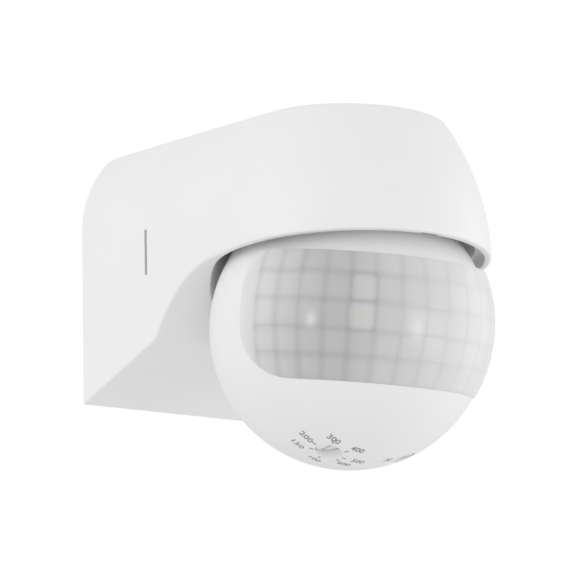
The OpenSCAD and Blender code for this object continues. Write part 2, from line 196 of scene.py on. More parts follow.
def build_stage():
    """A pale floor well below the object, a white surround and four large soft lights."""
    size = 3.0
    floor_z = -0.35
    builder = bmesh.new()
    bmesh.ops.create_grid(builder, x_segments=8, y_segments=8, size=size)
    mesh = bpy.data.meshes.new("floor")
    builder.to_mesh(mesh)
    builder.free()
    floor = bpy.data.objects.new("floor", mesh)
    floor.location.z = floor_z
    mesh.materials.append(plain_floor())
    bpy.context.scene.collection.objects.link(floor)

    world = bpy.data.worlds.new("surround")
    world.use_nodes = True
    nodes, links = world.node_tree.nodes, world.node_tree.links
    light = nodes["Background"]
    light.inputs["Color"].default_value = (0.99, 0.99, 0.99, 1.0)
    light.inputs["Strength"].default_value = 0.78
    paper = nodes.new("ShaderNodeBackground")
    paper.inputs["Color"].default_value = (1.0, 1.0, 1.0, 1.0)
    rays = nodes.new("ShaderNodeLightPath")
    choose = nodes.new("ShaderNodeMixShader")
    links.new(rays.outputs["Is Camera Ray"], choose.inputs["Fac"])
    links.new(light.outputs["Background"], choose.inputs[1])
    links.new(paper.outputs["Background"], choose.inputs[2])
    links.new(choose.outputs["Shader"], nodes["World Output"].inputs["Surface"])
    bpy.context.scene.world = world
    bpy.context.scene.view_settings.view_transform = "Standard"
    middle = (0, -0.05, 0)
    area_light("left_light", (-1.2, 0.0, 0.3), middle, 0.9, 3.0)
    area_light("right_light", (1.2, -0.3, 0.1), middle, 0.9, 2.0)
    area_light("front_light", (-0.45, -1.1, -0.3), middle, 0.7, 0.3)
    area_light("low_light", (0.5, -0.9, -0.33), middle, 0.6, 2.6)


# ---------------------------------------------------------------- materials

def new_material(name):
    """A node material and its shader."""
    material = bpy.data.materials.new(name)
    material.use_nodes = True
    return material, material.node_tree.nodes["Principled BSDF"]


def add_grain(material, shader, scale, strength, distance):
    """Fine bumps of a moulded or cast surface."""
    nodes, links = material.node_tree.nodes, material.node_tree.links
    place = nodes.new("ShaderNodeTexCoord")
    noise = nodes.new("ShaderNodeTexNoise")
    noise.inputs["Scale"].default_value = scale
    noise.inputs["Detail"].default_value = 3.0
    bump = nodes.new("ShaderNodeBump")
    bump.inputs["Strength"].default_value = strength
    bump.inputs["Distance"].default_value = distance
    links.new(place.outputs["Object"], noise.inputs["Vector"])
    links.new(noise.outputs["Fac"], bump.inputs["Height"])
    links.new(bump.outputs["Normal"], shader.inputs["Normal"])


def add_tone(material, shader, colour, other, scale):
    """The colour drifts softly between two near tones."""
    nodes, links = material.node_tree.nodes, material.node_tree.links
    place = nodes.new("ShaderNodeTexCoord")
    noise = nodes.new("ShaderNodeTexNoise")
    noise.inputs["Scale"].default_value = scale
    noise.inputs["Detail"].default_value = 2.0
    ramp = nodes.new("ShaderNodeValToRGB")
    ramp.color_ramp.elements[0].position = 0.35
    ramp.color_ramp.elements[1].position = 0.65
    ramp.color_ramp.elements[0].color = (*colour, 1)
    ramp.color_ramp.elements[1].color = (*other, 1)
    links.new(place.outputs["Object"], noise.inputs["Vector"])
    links.new(noise.outputs["Fac"], ramp.inputs["Fac"])
    links.new(ramp.outputs["Color"], shader.inputs["Base Color"])


def solid_material(name, colour, roughness, metallic=0.0, grain=0.15, drift=0.04):
    """A moulded, painted or metal surface with a fine grain and a slight drift of tone."""
    material, shader = new_material(name)
    shader.inputs["Roughness"].default_value = roughness
    shader.inputs["Metallic"].default_value = metallic
    add_tone(material, shader, colour, [c * (1 - drift) for c in colour], 60)
    add_grain(material, shader, 2500, grain, 0.00004)
    return material


def white_plastic(name, colour, roughness):
    """Fine-sparked white moulding."""
    material, shader = new_material(name)
    shader.inputs["Roughness"].default_value = roughness
    shader.inputs["IOR"].default_value = 1.5
    add_tone(material, shader, colour, [c * 0.985 for c in colour], 45)
    add_grain(material, shader, 3200, 0.12, 0.00003)
    return material


def plain_floor():
    material, shader = new_material("floor_paint")
    shader.inputs["Roughness"].default_value = 0.8
    add_tone(material, shader, (0.86, 0.86, 0.86), (0.84, 0.84, 0.84), 3)
    return material


def lens_plastic():
    """Milky plastic: the stored tone of each segment, which holds a painted reflection, painted glints and painted
    hot spots, with a soft gloss.
    """
    material, shader = new_material("lens_milk")
    nodes, links = material.node_tree.nodes, material.node_tree.links
    tone = nodes.new("ShaderNodeAttribute")
    tone.attribute_name = "segment_tone_and_painted_light"
    links.new(tone.outputs["Color"], shader.inputs["Base Color"])
    shader.inputs["Roughness"].default_value = 0.32
    shader.inputs["IOR"].default_value = 1.5
    add_grain(material, shader, 1800, 0.05, 0.00003)
    return material


PALETTE = {
    "rubber": ((0.07, 0.075, 0.08), 0.75, 0.0),
    "black_plastic": ((0.03, 0.032, 0.035), 0.5, 0.0),
    "terminal_plastic": ((0.78, 0.76, 0.70), 0.45, 0.0),
    "brass": ((0.62, 0.43, 0.13), 0.3, 1.0),
    "steel": ((0.55, 0.56, 0.58), 0.3, 1.0),
    "board": ((0.03, 0.15, 0.06), 0.45, 0.0),
    "relay_case": ((0.02, 0.08, 0.25), 0.4, 0.0),
    "film_case": ((0.68, 0.53, 0.05), 0.4, 0.0),
    "can_sleeve": ((0.025, 0.03, 0.05), 0.35, 0.0),
    "ceramic": ((0.70, 0.68, 0.63), 0.4, 0.0),
    "wire_red": ((0.42, 0.04, 0.03), 0.45, 0.0),
    "wire_brown": ((0.26, 0.07, 0.03), 0.45, 0.0),
    "filter": ((0.05, 0.055, 0.06), 0.12, 0.0),
    "cell": ((0.55, 0.25, 0.08), 0.5, 0.0),
    "trimmer_blue": ((0.07, 0.21, 0.43), 0.4, 0.0),
}


def build_materials():
    made = {name: solid_material(name, *values) for name, values in PALETTE.items()}
    made["housing_white"] = white_plastic("housing_white", (0.91, 0.91, 0.91), 0.42)
    made["head_white"] = white_plastic("head_white", (0.91, 0.91, 0.91), 0.36)
    made["inner_white"] = white_plastic("inner_white", (0.80, 0.80, 0.79), 0.45)
    made["lens"] = lens_plastic()
    made["print"] = solid_material("print_grey", (0.30, 0.30, 0.31), 0.6)
    return made


# ---------------------------------------------------------------- solids and cuts

def link(name, mesh):
    made = bpy.data.objects.new(name, mesh)
    bpy.context.scene.collection.objects.link(made)
    return made


def solid(points, faces, name="solid"):
    """A closed mesh from points and faces, welded and with its normals outward."""
    builder = bmesh.new()
    made = [builder.verts.new(p) for p in points]
    for face in faces:
        corners = [made[i] for i in dict.fromkeys(face)]
        if len(corners) > 2:
            builder.faces.new(corners)
    bmesh.ops.remove_doubles(builder, verts=builder.verts, dist=0.0005)
    bmesh.ops.recalc_face_normals(builder, faces=builder.faces)
    mesh = bpy.data.meshes.new(name)
    builder.to_mesh(mesh)
    builder.free()
    return link(name, mesh)


def lathe(profile, turn=Matrix.Identity(4), steps=96):
    """A closed profile of (radius, height) turned about Z. A radius of 0 is a point on the axis."""
    points, rings = [], []
    for radius, height in profile:
        if radius < 1e-6:
            rings.append([len(points)] * steps)
            points.append(turn @ Vector((0, 0, height)))
        else:
            rings.append(list(range(len(points), len(points) + steps)))
            for k in range(steps):
                angle = 2 * math.pi * k / steps
                points.append(turn @ Vector((radius * math.cos(angle), radius * math.sin(angle), height)))
    faces = []
    for a, ring in enumerate(rings):
        other = rings[(a + 1) % len(rings)]
        if ring[0] == ring[-1] and other[0] == other[-1]:
            continue
        for k in range(steps):
            n = (k + 1) % steps
            faces.append((ring[k], ring[n], other[n], other[k]))
    return solid(points, faces)


def rod(radius, start, end, turn=Matrix.Identity(4), steps=48):
    """A round rod between two points."""
    start, end = Vector(start), Vector(end)
    along = end - start
    place = turn @ Matrix.Translation(start) @ along.to_track_quat("Z", "Y").to_matrix().to_4x4()
    return lathe([(0, 0), (radius, 0), (radius, along.length), (0, along.length)], place, steps)


def prism(outline, half, turn=Matrix.Identity(4)):
    """An outline in (y, z) that runs along X from -half to half."""
    count = len(outline)
    points = [turn @ Vector((s * half, y, z)) for s in (-1, 1) for y, z in outline]
    faces = [(k, (k + 1) % count, count + (k + 1) % count, count + k) for k in range(count)]
    faces += [tuple(range(count)), tuple(range(count, 2 * count))]
    return solid(points, faces)


def block(low, high, turn=Matrix.Identity(4)):
    """A box between two corners."""
    middle = (low[0] + high[0]) / 2
    outline = [(low[1], low[2]), (high[1], low[2]), (high[1], high[2]), (low[1], high[2])]
    return prism(outline, (high[0] - low[0]) / 2, turn @ Matrix.Translation((middle, 0, 0)))


def settle(made):
    """Applies an object's modifiers to its mesh."""
    depsgraph = bpy.context.evaluated_depsgraph_get()
    mesh = bpy.data.meshes.new_from_object(made.evaluated_get(depsgraph))
    old = made.data
    made.modifiers.clear()
    made.data = mesh
    bpy.data.meshes.remove(old)


def cut(made, tools, operation="DIFFERENCE"):
    """Cuts the tools out of a solid, or joins them to it."""
    for tool in tools:
        step = made.modifiers.new("cut", "BOOLEAN")
        step.object = tool
        step.operation = operation
        step.solver = "EXACT"
    settle(made)
    for tool in tools:
        mesh = tool.data
        bpy.data.objects.remove(tool)
        bpy.data.meshes.remove(mesh)
    return made


def join(made, tools):
    return cut(made, tools, "UNION")


def round_edges(made, radius_of, widest, segments=4):
    """Rounds each edge by the radius that radius_of(start, end, edge angle) gives."""
    builder = bmesh.new()
    builder.from_mesh(made.data)
    weight = builder.edges.layers.float.get("bevel_weight_edge")
    if weight is None:
        weight = builder.edges.layers.float.new("bevel_weight_edge")
    for edge in builder.edges:
        angle = edge.calc_face_angle(0.0)
        radius = radius_of(edge.verts[0].co, edge.verts[1].co, angle)
        edge[weight] = radius / widest
    builder.to_mesh(made.data)
    builder.free()
    step = made.modifiers.new("round", "BEVEL")
    step.limit_method = "WEIGHT"
    step.width = widest
    step.segments = segments
    step.use_clamp_overlap = False
    settle(made)


def finish(made, name, body, material, nodes, smooth=32.0, flat_first=True):
    """Scales a solid to metres, shades it, names it and lets it ride in place of CAD nodes."""
    builder = bmesh.new()
    builder.from_mesh(made.data)
    bmesh.ops.remove_doubles(builder, verts=builder.verts, dist=0.002)
    bmesh.ops.dissolve_degenerate(builder, edges=builder.edges, dist=0.001)
    limit = math.radians(smooth)
    for face in builder.faces:
        face.smooth = True
    for edge in builder.edges:
        edge.smooth = edge.calc_face_angle(math.pi) < limit
    bmesh.ops.scale(builder, vec=(MM, MM, MM), verts=builder.verts)
    builder.to_mesh(made.data)
    builder.free()
    made.name = name
    made.data.name = name
    made.data.materials.clear()
    made.data.materials.append(material)
    if flat_first:
        step = made.modifiers.new("normals", "WEIGHTED_NORMAL")
        step.keep_sharp = True
        settle(made)
    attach(made, body)
    if nodes:
        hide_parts(*nodes)
    return made


# ---------------------------------------------------------------- housing surfaces

def bisect(rises, low, high):
    """The place between low and high where a rising function crosses zero."""
    for _ in range(48):
        middle = (low + high) / 2
        if rises(middle) > 0:
            high = middle
        else:
            low = middle
    return (low + high) / 2


def roof(y, inset=0.0):
    return FACE_TOP - inset + TOP_FALL * y


def belly(y, inset=0.0):
    return FACE_LOW + inset * math.hypot(1, BELLY_SLOPE) - BELLY_SLOPE * y


def underside(y, inset=0.0):
    """Height of the lower edge: the belly, then the recess for the ball, then the rim."""
    reach = RECESS_R + inset
    if y <= RECESS_Y:
        return RIM_Z + inset
    if y - RECESS_Y >= reach:
        return belly(y, inset)
    return max(belly(y, inset), RIM_Z - RECESS_R + math.sqrt(reach ** 2 - (y - RECESS_Y) ** 2))


def ridge_place(inset=0.0):
    """Where the belly meets the recess."""
    arc = lambda y: RIM_Z - RECESS_R + math.sqrt((RECESS_R + inset) ** 2 - (y - RECESS_Y) ** 2)
    return bisect(lambda y: belly(y, inset) - arc(y), RECESS_Y + 10, RECESS_Y + RECESS_R - 2)


def flank_turn(lean, inset):
    """Plan angle of the plane that touches both the wall box outline and the dome at this lean."""
    rise = math.tan(lean)

    def short(angle):
        across, ahead = math.cos(angle), math.sin(angle)
        box = (-BLEND_Y * ahead + SHOULDER_X * across
               + (SHOULDER_R - inset) * math.hypot(across, rise) + SHOULDER_Z * rise)
        dome = (-DOME_Y * ahead + HALF_W - LEAN_R
                + (LEAN_R - inset) * math.hypot(1, rise) + DOME_Z * rise)
        return dome - box
    return bisect(short, 0.0, math.radians(60))


def dome_point(lean, turn, inset):
    radius = HALF_W - LEAN_R + (LEAN_R - inset) * math.cos(lean)
    return Vector((radius * math.cos(turn), DOME_Y - radius * math.sin(turn),
                   DOME_Z + (LEAN_R - inset) * math.sin(lean)))


def box_point(lean, turn, inset):
    """The point of the wall box outline that the touching plane meets."""
    rise, across = math.tan(lean), math.cos(turn)
    size = math.hypot(rise, across)
    return Vector((SHOULDER_X + (SHOULDER_R - inset) * across / size, BLEND_Y,
                   SHOULDER_Z + (SHOULDER_R - inset) * rise / size))


def flank_point(y, lean, inset):
    """The point of the flank and shoulder surface at this depth and lean."""
    turn = flank_turn(lean, inset)
    back, front = box_point(lean, turn, inset), dome_point(lean, turn, inset)
    if y >= BLEND_Y:
        return Vector((back.x, y, back.z))
    return back.lerp(front, (y - BLEND_Y) / (front.y - BLEND_Y))


def wall_point(station, lean, inset):
    """A point of the hood's upright surface. Stations run from the seam (0) along the flank
    (to 1) and round the dome (to 2, the front centre)."""
    turn = flank_turn(lean, inset)
    if station <= 1:
        return flank_point(SEAM_Y, lean, inset).lerp(dome_point(lean, turn, inset), station)
    return dome_point(lean, turn + (math.pi / 2 - turn) * (station - 1), inset)


def rim_radius(turn):
    """Plan radius of the mouth of the ball's socket, about the dome's axis."""
    level = math.sqrt(SOCKET_R ** 2 - (RIM_Z - BALL.z) ** 2)
    offset = BALL.y - DOME_Y
    ahead = offset * math.sin(turn)
    return max(RIM_BORE_R, -ahead + math.sqrt(ahead ** 2 + level ** 2 - offset ** 2))


def hood_body(inset, rear, with_socket):
    """The hood's closed outer body, or with an inset the space inside it. It is built for x >= 0
    and mirrored."""
    ridge_y = ridge_place(inset)
    ridge_station = (SEAM_Y - ridge_y) / (SEAM_Y - DOME_Y)
    flank = [ridge_station + (1 - ridge_station) * k / 16 for k in range(1, 17)]
    stations = [0, ridge_station / 2, ridge_station] + flank + [1 + k / 30 for k in range(1, 31)]
    first_mouth = 2
    upright_rows = 20
    points, faces = [], []

    def add(p):
        points.append(Vector(p))
        return len(points) - 1

    def grid(rows):
        for a, b in zip(rows, rows[1:]):
            for k in range(len(a) - 1):
                faces.append((a[k], a[k + 1], b[k + 1], b[k]))

    # upright surface
    columns = []
    for station in stations:
        def place(rise):
            lean = max(rise, 0.0) / LEAN_R
            p = flank_point(rear, lean, inset) if station == 0 else wall_point(station, lean, inset)
            return p + Vector((0, 0, min(rise, 0.0)))

        def above_foot(rise):
            p = place(rise)
            return p.z - underside(p.y, inset)

        def above_roof(rise):
            p = place(rise)
            return p.z - roof(p.y, inset)
        foot = bisect(above_foot, -FACE_TOP - HALF_W, 10.0)
        top = bisect(above_roof, 0.0, LEAN_R * math.radians(75))
        column = [place(foot + (top - foot) * k / upright_rows) for k in range(upright_rows + 1)]
        columns.append([add(p) for p in column])
    grid(columns)

    # roof
    across = 6
    roof_rows = []
    for column in columns:
        edge = points[column[-1]]
        end_y = max(edge.y, DOME_Y)
        end = Vector((0, end_y, roof(end_y, inset)))
        roof_rows.append([column[-1]] + [add(edge.lerp(end, k / across)) for k in range(1, across + 1)])
    grid(roof_rows)

    # underside of the flanks and the rim
    def mouth(index):
        if not with_socket:
            foot = points[columns[index][0]]
            return Vector((0, foot.y, foot.z))
        station = stations[index]
        if station <= 1:
            foot = points[columns[index][0]]
            level = SOCKET_R ** 2 - (foot.y - BALL.y) ** 2 - (foot.z - BALL.z) ** 2
            return Vector((math.sqrt(level), foot.y, foot.z))
        turn = math.pi / 2 * (station - 1)
        radius = rim_radius(turn)
        return Vector((radius * math.cos(turn), DOME_Y - radius * math.sin(turn), RIM_Z))

    rows = [[columns[index][0], add(mouth(index))] for index in range(first_mouth, len(stations))]
    mouths = [row[-1] for row in rows]
    grid(rows)

    # belly, from the seam to the ridge
    notch = []
    if with_socket:
        ridge_in = points[mouths[0]]
        for k in range(1, 5):
            x = ridge_in.x * (1 - k / 4)
            y = ridge_in.y
            for _ in range(4):
                y = BALL.y + math.sqrt(SOCKET_R ** 2 - x * x - (belly(y) - BALL.z) ** 2)
            notch.append(add((x, y, belly(y))))
    ridge_row = rows[0] + notch
    belly_rows = []
    for index in range(first_mouth):
        foot = points[columns[index][0]]
        share = (foot.y - rear) / (points[columns[first_mouth][0]].y - rear)
        row = [columns[index][0]]
        for place in ridge_row[1:]:
            target = points[place]
            y = rear + (target.y - rear) * share
            row.append(add((target.x, y, belly(y, inset))))
        belly_rows.append(row)
    belly_rows.append(ridge_row)
    grid(belly_rows)

    # rear face
    faces.append(tuple(columns[0] + roof_rows[0][1:] + belly_rows[0][:0:-1]))

    # socket of the ball
    if with_socket:
        ring_angle = math.asin(NECK_RING_R / SOCKET_R)
        lip = [row[-1] for row in rows]
        loop = notch[::-1] + lip
        sphere_rows = 12
        socket = [loop]
        tops = []
        for place in loop:
            p = points[place] - BALL
            away = math.hypot(p.x, p.y)
            bored = abs(p.length - SOCKET_R) > 0.02
            lift = p.z + RIM_BORE_DEEP
            if bored:
                first = Vector((p.x, p.y, lift))
            else:
                size = math.sqrt(max(SOCKET_R ** 2 - lift ** 2, 0))
                first = Vector((p.x * size / away, p.y * size / away, lift))
            angle = math.acos((lift + (0.0 if bored else 0.4)) / SOCKET_R)
            tops.append((add(first + BALL), p.x / away, p.y / away, angle))
        socket.append([t[0] for t in tops])
        for k in range(sphere_rows + 1):
            row = []
            for _, ux, uy, angle in tops:
                now = angle + (ring_angle - angle) * k / sphere_rows
                reach = SOCKET_R * math.sin(now)
                row.append(add(BALL + Vector((ux * reach, uy * reach, SOCKET_R * math.cos(now)))))
            socket.append(row)
        grid(socket)
        faces.append(tuple(socket[-1]))

    count = len(points)
    mirrored = points + [Vector((-p.x, p.y, p.z)) for p in points]
    both = faces + [tuple(i + count for i in reversed(face)) for face in faces]
    return solid(mirrored, both, "hood_body")


def near(a, b, tolerance=0.05):
    return abs(a - b) < tolerance


def hood_edge_radius(start, end, angle):
    """How much each edge of the hood is rounded."""
    if angle < math.radians(25):
        return 0.0
    middle = (start + end) / 2
    if near(start.y, SEAM_Y) and near(end.y, SEAM_Y):
        return SEAM_EASE
    if near(start.z, roof(start.y)) and near(end.z, roof(end.y)):
        return RIDGE_EASE
    away = (middle - BALL).length
    if away < SOCKET_R + 1.5 and abs(middle.x) < HALF_W - 1:
        return RIM_EASE if middle.z < RIM_Z + 0.2 else 0.0
    if near(start.y, end.y, 0.01) and middle.y > RECESS_Y:
        return RECESS_EASE
    return EDGE_EASE


def ring(inset, thick, start, end):
    """A band that follows the wall box outline, thick wide, between two depths."""
    band = box_body(inset, start, end)
    return cut(band, [box_body(inset + thick, start + 1, end - 1)])


def build_hood(material):
    """The hood, hollow, with the ball's socket, the neck's bearing and the slots at its seam."""
    body = hood_body(0.0, SEAM_Y, True)
    round_edges(body, hood_edge_radius, RECESS_EASE)
    # hollow inside, round the socket's shell and the neck's tower
    hollow = hood_body(WALL, SEAM_Y + 1, False)
    up = Matrix.Translation(BALL)
    keep = lathe(ball_profile(SOCKET_R + WALL, -1.0), up)
    join(keep, [rod(TOWER_R, (0, 0, 31), (0, 0, TOWER_TOP), up)])
    cut(hollow, [keep])
    neck_room = rod(NECK_RING_R, (0, 0, 20), (0, 0, TOWER_ROOF), up)
    bearing = rod(BEARING_R + 0.05, (0, 0, 25), (0, 0, TOWER_TOP + 4), up)
    seat = box_body(1.0, SEAM_Y + 1, SEAM_Y - 2.6)
    notch = block((-RIM_NOTCH / 2, DOME_Y - RIM_BORE_R - 0.75, RIM_Z - 2),
                  (RIM_NOTCH / 2, DOME_Y - RIM_BORE_R + 2, RIM_Z + 1.5))
    slots = [block((side * HALF_W - 1.1, SEAM_Y - PRY_SLOT_W, PRY_SLOT[0]),
                   (side * HALF_W + 1.1, SEAM_Y + 1, PRY_SLOT[1])) for side in (-1, 1)]
    cut(body, [hollow, neck_room, bearing, seat, notch] + slots)
    finish(body, "hood_shell", "root", material, ["hood"])


def box_body(inset, start, end):
    """The wall box form between two depths, shrunk by inset."""
    outline_rows, low_rows, high_rows = 6, 6, 14
    points, faces, loops = [], [], []
    steps = [start + (end - start) * k / 6 for k in range(7)]
    for y in steps:
        half, low = HALF_W - inset, belly(y, inset)
        foot = flank_point(y, 0.0, inset)

        def over(lean):
            return flank_point(y, lean, inset).z - roof(y, inset)
        top = bisect(over, 0.0, math.radians(75))
        loop = [(half * k / outline_rows, low) for k in range(outline_rows)]
        loop += [(half, low + (foot.z - low) * k / low_rows) for k in range(low_rows)]
        for k in range(high_rows + 1):
            p = flank_point(y, top * k / high_rows, inset)
            loop.append((p.x, p.z))
        edge, high = loop[-1]
        loop += [(edge * (1 - k / outline_rows), high) for k in range(1, outline_rows + 1)]
        loop += [(-x, z) for x, z in loop[-2:0:-1]]
        loops.append(range(len(points), len(points) + len(loop)))
        points += [(x, y, z) for x, z in loop]
    for a, b in zip(loops, loops[1:]):
        count = len(a)
        faces += [(a[k], a[(k + 1) % count], b[(k + 1) % count], b[k]) for k in range(count)]
    faces += [tuple(loops[0]), tuple(loops[-1])]
    return solid(points, faces, "box_body")


def box_edge_radius(start, end, angle):
    """How much each edge of the wall box is rounded."""
    if angle < math.radians(25):
        return 0.0
    if near(start.y, SEAM_Y) and near(end.y, SEAM_Y):
        return SEAM_EASE
    if near(start.y, 0) and near(end.y, 0):
        return BACK_EASE
    return RIDGE_EASE if start.z > SHOULDER_Z else EDGE_EASE


def build_wall_base(material):
    """The box on the wall, with the lip that enters the hood."""
    body = box_body(0.0, 0.0, SEAM_Y)
    round_edges(body, box_edge_radius, RIDGE_EASE)
    cut(body, [box_body(WALL, -BACK_T, SEAM_Y - 1)])
    lip = box_body(LIP_IN, SEAM_Y + 2, SEAM_Y - LIP_LEN)
    gaps = [block((side * HALF_W - 3, SEAM_Y - 3, -6), (side * HALF_W + 3, SEAM_Y + 0.5, 6))
            for side in (-1, 1)]
    cut(lip, [box_body(WALL, SEAM_Y + 3, SEAM_Y - 3)] + gaps)
    screws = [(x, WALL_SCREW_Z) for x in (-WALL_SCREW_X, WALL_SCREW_X)]
    post_r, post_hole_r = BOARD_POST_SIZES
    pad_r, screw_hole_r = WALL_PAD_SIZES
    entry_r, seat_r = GROMMET_SIZES
    posts = [rod(post_r, (x, -1.5, z), (x, POWER_Y, z)) for x, z in BOARD_POSTS]
    pads = [rod(pad_r, (x, -1.5, z), (x, -BACK_T - 1, z)) for x, z in screws]
    join(body, [lip] + posts + pads)
    holes = [rod(post_hole_r, (x, -3, z), (x, -8, z)) for x, z in BOARD_POSTS]
    holes += [rod(screw_hole_r, (x, 1, z), (x, -10, z)) for x, z in screws]
    holes.append(rod(entry_r, (0, 1, GROMMET_Z), (0, -5, GROMMET_Z)))
    holes.append(rod(seat_r, (0, 1, GROMMET_Z), (0, -1, GROMMET_Z)))
    gasket_groove = ring(1.2, 1.4, 1.0, -1.0)
    cut(body, [gasket_groove] + holes)
    finish(body, "wall_box", "root", material, ["wall_base"])


# ---------------------------------------------------------------- ball head

FORWARD = HEAD @ Matrix.Rotation(math.pi / 2, 4, "X")


def ball_profile(radius, from_height, thick=None, steps=64, ease=0.0):
    """Profile of a ball cut flat at a height; with a thickness it is a shell. The flat's outer
    edge is eased."""
    end = math.acos(from_height / radius)
    turn = ease / radius
    outer = [(radius * math.sin(a), radius * math.cos(a))
             for a in ((end - turn) * (1 - k / steps) for k in range(steps + 1))]
    eased = [(radius * math.sin(end) - ease, from_height)] if ease else []
    if thick is None:
        return eased + outer + [(0, from_height)]
    inner_r = radius - thick
    end = math.acos(from_height / inner_r)
    inner = [(inner_r * math.sin(end * k / steps), inner_r * math.cos(end * k / steps))
             for k in range(steps + 1)]
    return eased + outer + inner


def lens_outline(inset):
    """The lens window from the side, as (y, z)."""
    rear, top, low = LENS_EDGE_Y - inset, LENS_TOP - inset, LENS_LOW + inset
    low_r, top_r = LENS_LOW_R - inset, LENS_TOP_R - inset
    front = -40.0
    steps = 20
    points = [(front, low)]
    for k in range(steps + 1):
        a = math.pi / 2 * k / steps
        points.append((rear - low_r + low_r * math.sin(a), low + low_r - low_r * math.cos(a)))
    for k in range(steps + 1):
        a = math.pi / 2 * k / steps
        points.append((rear - top_r + top_r * math.cos(a), top - top_r + top_r * math.sin(a)))
    return points + [(front, top)]


def neck_slot():
    """Fan through which the neck enters the head."""
    reach = 45.0
    turns = [math.radians(SLOT_START + SLOT_STEP * k) for k in range(5)]
    fan = [(0.0, 0.0)] + [(reach * math.sin(a), reach * math.cos(a)) for a in turns]
    return prism(fan, SLOT_HALF, HEAD)


def sphere_shading(made, centre, radius):
    """Gives the corners that lie on a sphere its exact normals."""
    mesh = made.data
    normals = [Vector(c.vector) for c in mesh.corner_normals]
    for face in mesh.polygons:
        away = face.center - centre
        if abs(away.length - radius) > 0.15 * MM or away.normalized().dot(face.normal) < 0.9:
            continue
        for loop in face.loop_indices:
            corner = mesh.vertices[mesh.loops[loop].vertex_index].co - centre
            if abs(corner.length - radius) < 0.01 * MM:
                normals[loop] = corner.normalized()
    mesh.normals_split_custom_set(normals)


def head_post_places():
    """Where the screws of the head shells stand, as (x, z) in the head."""
    return [(18 * s, 17.0) for s in (-1, 1)] + [(17.5 * s, -17.5) for s in (-1, 1)]


def build_front_shell(material):
    """The front half of the ball, with its ring toward the rear half, axle bosses and posts."""
    shell = lathe(ball_profile(BALL_R, -HEAD_SEAM, WALL, ease=0.16), FORWARD, 192)
    bosses = []
    for side in (-1, 1):
        inner, outer = [(side * x, 0, 0) for x in BOSS_ENDS]
        bosses.append(rod(BOSS_R, inner, outer, HEAD))
    board_posts = [side * BOARD_POST_X for side in (-1, 1)]
    bosses += [rod(BOARD_POST_R, (x, 0, 0), (x, -5.6, 0), HEAD) for x in board_posts]
    web = rod(WEB_R, (0, 1, 0), (0, -1, 0), HEAD, 128)
    spigot = rod(SPIGOT_R, (0, SPIGOT_LEN, 0), (0, 0, 0), HEAD, 128)
    posts = [rod(SHELL_POST_R, (x, 5.7, z), (x, -1.5 if z > 0 else -6, z), HEAD)
             for x, z in head_post_places()]
    join(web, [spigot])
    cut(web, [rod(SPIGOT_BORE_R, (0, 8, 0), (0, -2, 0), HEAD, 128)])
    for post in posts:
        cut(post, [rod(SPIGOT_R - 0.1, (0, 20, 0), (0, -20, 0), HEAD, 128)], "INTERSECT")
    join(shell, [web] + bosses + posts)
    tools = [prism(lens_outline(0.0), 40, HEAD), neck_slot()]
    tools += [rod(KNOB_R + KNOB_GAP, (0, 0, -3), (0, 0, 9), knob_frame(side), 64) for side in (-1, 1)]
    tools.append(rod(AXLE_HOLE_R, (-19, 0, 0), (19, 0, 0), HEAD))
    tools += [rod(PILOT_R, (x, 10, z), (x, 0, z), HEAD) for x, z in head_post_places()]
    cut(shell, tools)
    finish(shell, "head_front", "head", material, ["head_front_shell"])
    sphere_shading(shell, BALL * MM, BALL_R * MM)


def build_rear_shell(material):
    """The rear half of the ball, with the posts and holes of its screws."""
    back = HEAD @ Matrix.Rotation(-math.pi / 2, 4, "X")
    shell = lathe(ball_profile(BALL_R, HEAD_SEAM, WALL, ease=0.16), back, 192)
    posts = [rod(3.2, (x, 6.3, z), (x, 30, z), HEAD) for x, z in head_post_places()]
    for post in posts:
        clip = lathe(ball_profile(BALL_R - 0.5, -BALL_R + 1, None), HEAD)
        cut(post, [clip], "INTERSECT")
    join(shell, posts)
    tools = [neck_slot()]
    for x, z in head_post_places():
        tools.append(rod(SCREW_HOLE_R, (x, 40, z), (x, 0, z), HEAD))
        tools.append(rod(SCREW_SEAT_R, (x, 40, z), (x, 10.5, z), HEAD))
    cut(shell, tools)
    finish(shell, "head_rear", "head", material, ["head_rear_shell"])
    sphere_shading(shell, BALL * MM, BALL_R * MM)


# ---------------------------------------------------------------- lens

SEGMENT_ENDS = 7
SEGMENT_ROWS = (14.6, 9.3, 3.45, -2.6, -7.9, -13.6)
GROOVE_HALF = 0.3
GROOVE_DEEP = 0.05
LOW_STEP = 0.2
LOW_STEP_HIGH = 0.9
EDGE_DEEP = 2.2
FIT_GAP = 0.02
LENS_T = 1.2


def segment_edge(k):
    """Longitude of the k-th joint between columns of segments, in degrees."""
    return -3.0 + 10.5 * k + 0.07 * k * k


def nearest_edge(longitude):
    return min((segment_edge(k) for k in range(-SEGMENT_ENDS, SEGMENT_ENDS + 1)),
               key=lambda edge: abs(edge - longitude))


def lens_edge_longitude(z, inset):
    """Longitude of the lens's rear edge at a height, in degrees."""
    rear, top, low = LENS_EDGE_Y - inset, LENS_TOP - inset, LENS_LOW + inset
    low_r, top_r = LENS_LOW_R - inset, LENS_TOP_R - inset
    y = rear
    if z < low + low_r:
        y = rear - low_r + math.sqrt(max(low_r ** 2 - (low + low_r - z) ** 2, 0))
    elif z > top - top_r:
        y = rear - top_r + math.sqrt(max(top_r ** 2 - (z - top + top_r) ** 2, 0))
    level = math.sqrt(LENS_R ** 2 - (z - LENS_UP) ** 2)
    return math.degrees(math.acos(-y / level))


